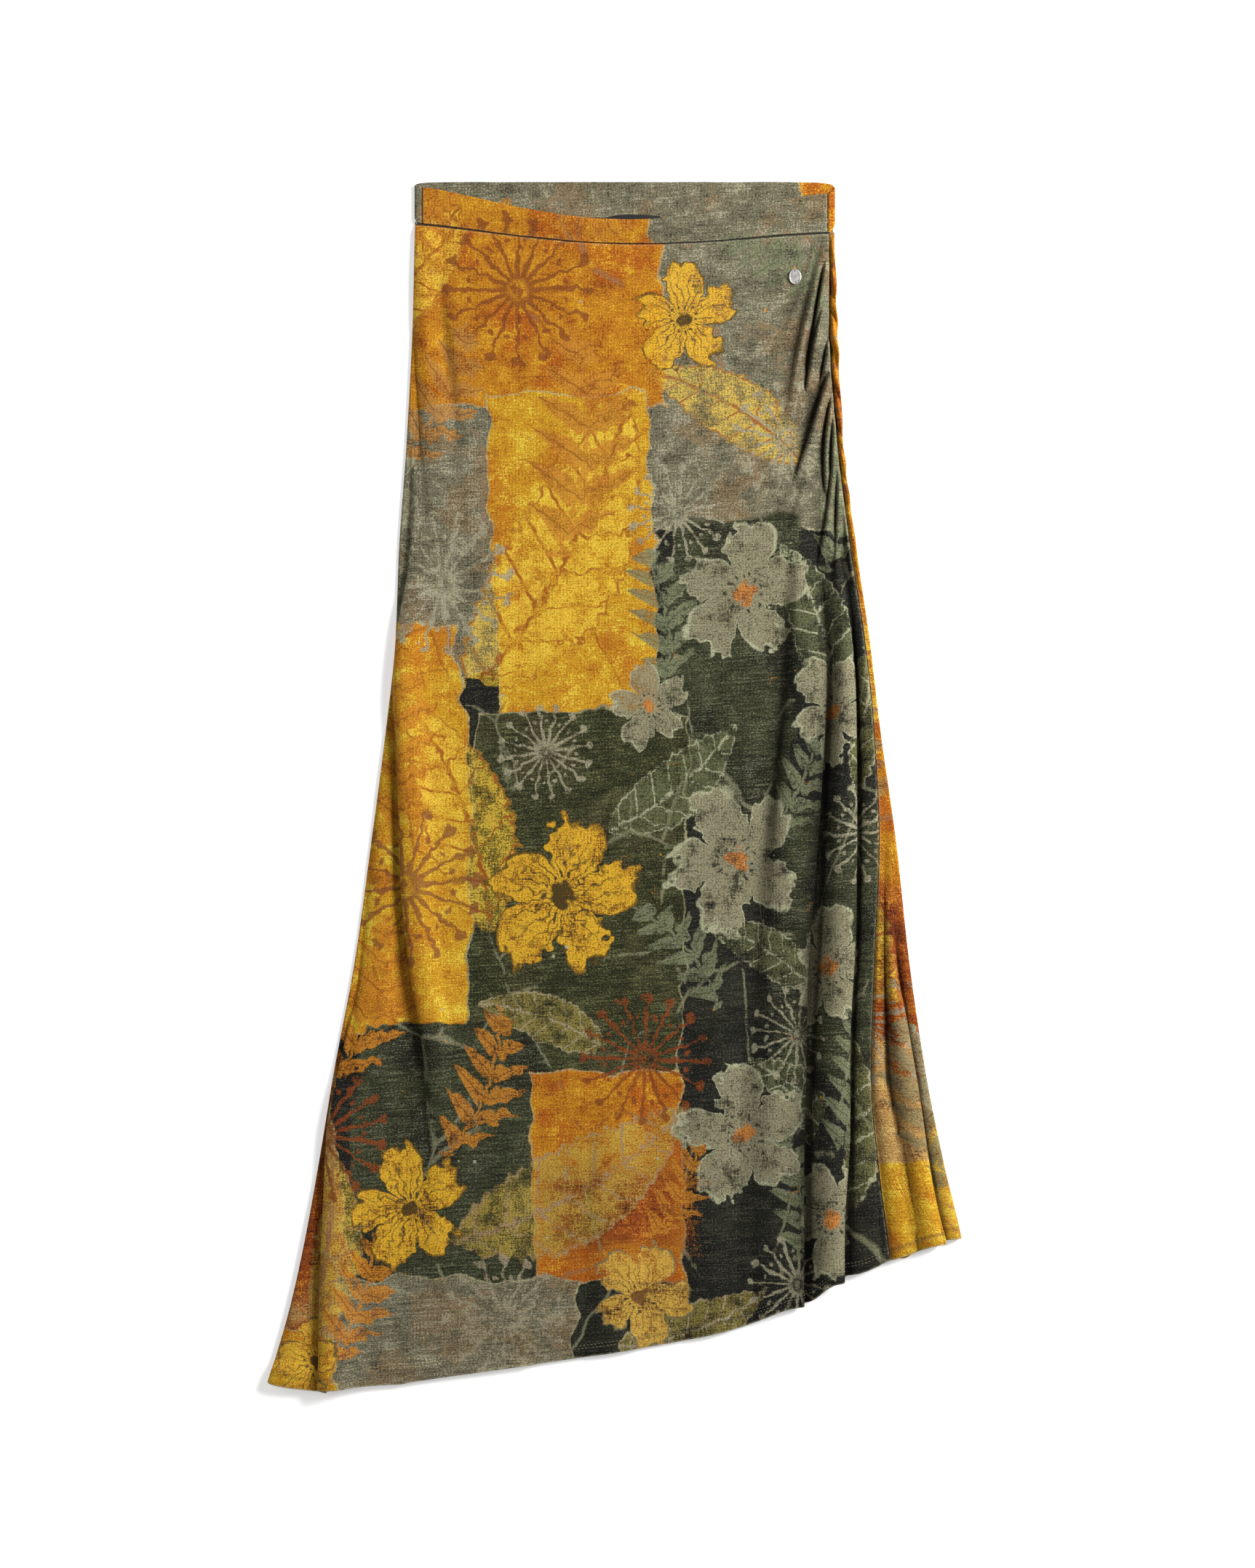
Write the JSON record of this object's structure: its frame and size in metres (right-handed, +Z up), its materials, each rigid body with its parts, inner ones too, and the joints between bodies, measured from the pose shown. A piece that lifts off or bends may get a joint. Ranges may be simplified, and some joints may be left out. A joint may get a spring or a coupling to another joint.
{
  "type": "maxi skirt laid flat",
  "caption": "Flared ankle-length jersey skirt with a slanted hem and a gathered side seam, lying flat with its front up.",
  "frame": {"origin": "middle of the laid skirt's outline, on the surface that it lies on", "axes": "+X across to the right as seen from above, +Y up to the waist, +Z up from the surface"},
  "size_m": [0.6011, 1.0472, 0.0103],
  "materials": {
    "printed_jersey": "fine slubbed viscose jersey, matt, printed in ochre, olive and charcoal patches",
    "band_jersey": "the same printed jersey, doubled",
    "label_weave": "black woven satin label, bare",
    "plate_metal": "satin light grey metal plate, bare"
  },
  "bodies": {
    "root": {"front_panel": "printed_jersey", "back_panel": "printed_jersey", "waistband_front": "band_jersey", "waistband_back": "band_jersey", "inner_label": "label_weave", "trim_plate": "plate_metal"}
  },
  "joints": []
}
